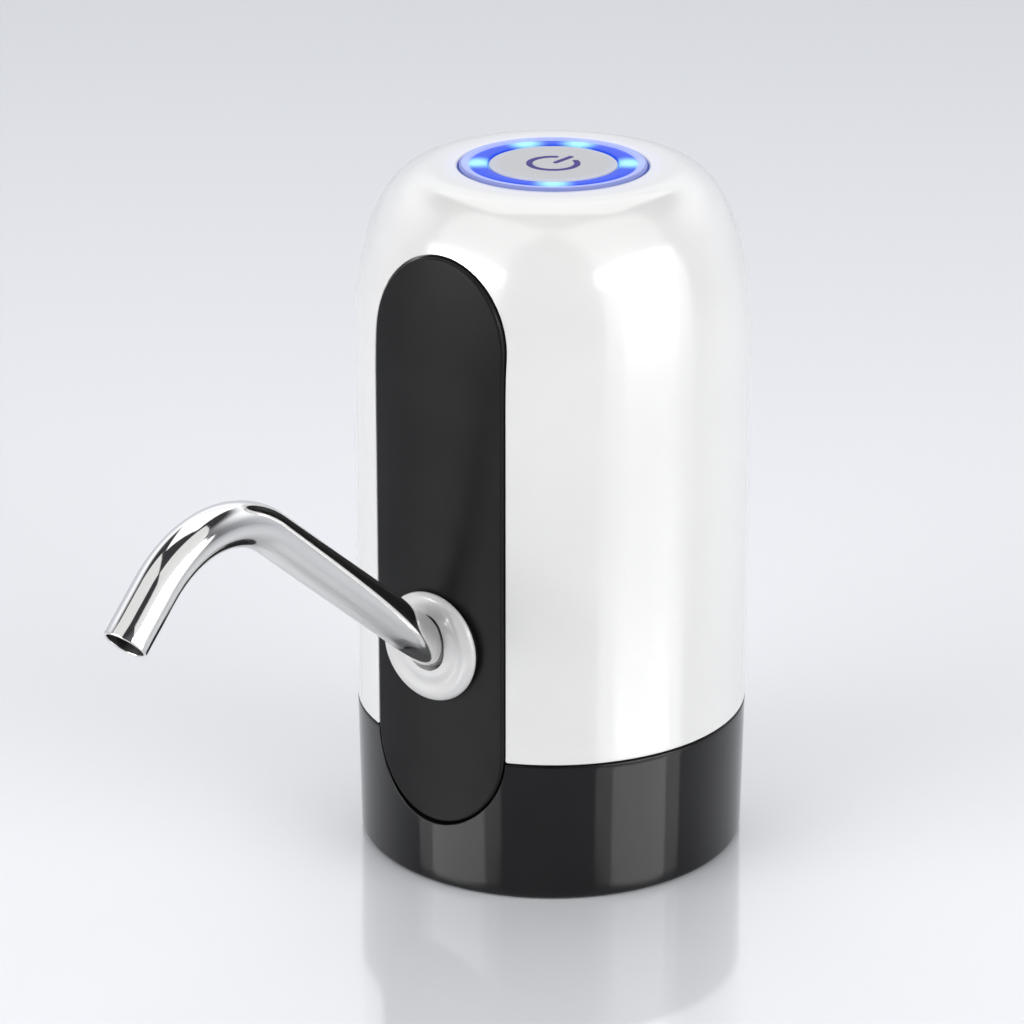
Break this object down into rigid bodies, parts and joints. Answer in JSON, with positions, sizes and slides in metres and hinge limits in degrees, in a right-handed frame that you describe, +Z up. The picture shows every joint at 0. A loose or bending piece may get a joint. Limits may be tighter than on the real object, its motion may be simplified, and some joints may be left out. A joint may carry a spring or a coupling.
{
  "type": "bottled water pump",
  "caption": "Rechargeable pump that sits on a water bottle's neck: domed housing, front panel, swivelling bent steel spout and a lit push button.",
  "frame": {"origin": "middle of the bounding box of the whole object on the plane it stands on; the housing's own axis is at y = +41.61 mm", "axes": "+Z up along the housing; -Y out of the front panel, the way the spout points; +X to the right seen from behind the housing"},
  "size_m": [0.073, 0.1561, 0.1299],
  "materials": {
    "white_plastic": "high gloss white",
    "black_plastic": "high gloss black",
    "panel_plastic": "satin gloss black",
    "inner_plastic": "moulded off-white",
    "dark_plastic": "moulded dark",
    "silicone": "milky silicone",
    "black_rubber": "black rubber",
    "stainless": "polished stainless steel",
    "plated_steel": "zinc plated",
    "copper": "enamelled copper windings",
    "battery_wrap": "blue shrink wrap",
    "board_green": "green solder mask",
    "lit_ring": "translucent, lit blue",
    "button_silver": "satin silver paint",
    "led_lens": "clear lens",
    "red_wire": "red insulation",
    "black_wire": "black insulation",
    "white_wire": "white insulation"
  },
  "bodies": {
    "housing": {"shell": "white_plastic", "base_ring": "black_plastic", "chassis_plate": "inner_plastic", "neck_gasket": "silicone", "inlet_barb": "inner_plastic", "case_screw_1": "plated_steel", "case_screw_2": "plated_steel", "case_screw_3": "plated_steel", "case_screw_4": "plated_steel", "front_panel": "panel_plastic", "spout_o_ring": "black_rubber", "outlet_socket": "inner_plastic", "outlet_hose": "silicone", "inlet_hose": "silicone", "pump_cover": "dark_plastic", "valve_plate": "inner_plastic", "discharge_valve": "black_rubber", "diaphragm": "black_rubber", "cup_frame": "inner_plastic", "pump_housing": "dark_plastic", "pump_screw_1": "plated_steel", "pump_screw_2": "plated_steel", "pump_screw_3": "plated_steel", "pump_screw_4": "plated_steel", "motor_can": "plated_steel", "motor_end_cap": "dark_plastic", "battery_cradle": "inner_plastic", "battery_cell": "battery_wrap", "main_board": "board_green", "main_board_screw_1": "plated_steel", "main_board_screw_2": "plated_steel", "usb_socket": "plated_steel", "control_chip": "dark_plastic", "motor_transistor": "dark_plastic", "light_ring": "lit_ring", "button_board": "board_green", "button_board_screw_1": "plated_steel", "button_board_screw_2": "plated_steel", "tact_switch": "dark_plastic", "led_1": "led_lens", "led_2": "led_lens", "led_3": "led_lens", "led_4": "led_lens", "led_5": "led_lens", "battery_lead_positive": "red_wire", "battery_lead_negative": "black_wire", "motor_lead_positive": "red_wire", "motor_lead_negative": "black_wire", "button_lead": "white_wire"},
    "collar": {"spout_collar": "white_plastic"},
    "spout_tube": {"spout": "stainless"},
    "button": {"power_button": "button_silver", "switch_plunger": "dark_plastic"},
    "rotor": {"motor_shaft": "plated_steel", "armature": "copper", "eccentric_wheel": "dark_plastic", "eccentric_pin": "plated_steel"},
    "wobbler": {"wobble_plate": "inner_plastic"}
  },
  "joints": [
    {"name": "spout_swivel", "type": "hinge", "parent": "housing", "child": "collar", "pos_m": [0, 0.00591, 0.0475], "axis": [0, -1, 0], "range_deg": [-90, 90]},
    {"name": "spout_pull", "type": "slide", "parent": "collar", "child": "spout_tube", "axis": [0, -1, 0], "range_m": [0, 0.017]},
    {"name": "button_press", "type": "slide", "parent": "housing", "child": "button", "axis": [0, 0, -1], "range_m": [0, 0.0005], "stiffness_N_per_m": 3000, "springref_m": -0.0001},
    {"name": "motor_spin", "type": "hinge", "parent": "housing", "child": "rotor", "pos_m": [0.007, 0.04161, 0.09], "axis": [0, 0, 1], "continuous": true},
    {"name": "wobble_nutation", "type": "hinge", "parent": "rotor", "child": "wobbler", "pos_m": [0.007, 0.04161, 0.0645], "axis": [0.1045, 0, 0.9945], "continuous": true, "deforming": ["diaphragm"]}
  ],
  "couplings": [
    {"joint": "wobble_nutation", "follows": "motor_spin", "ratio": -1}
  ]
}
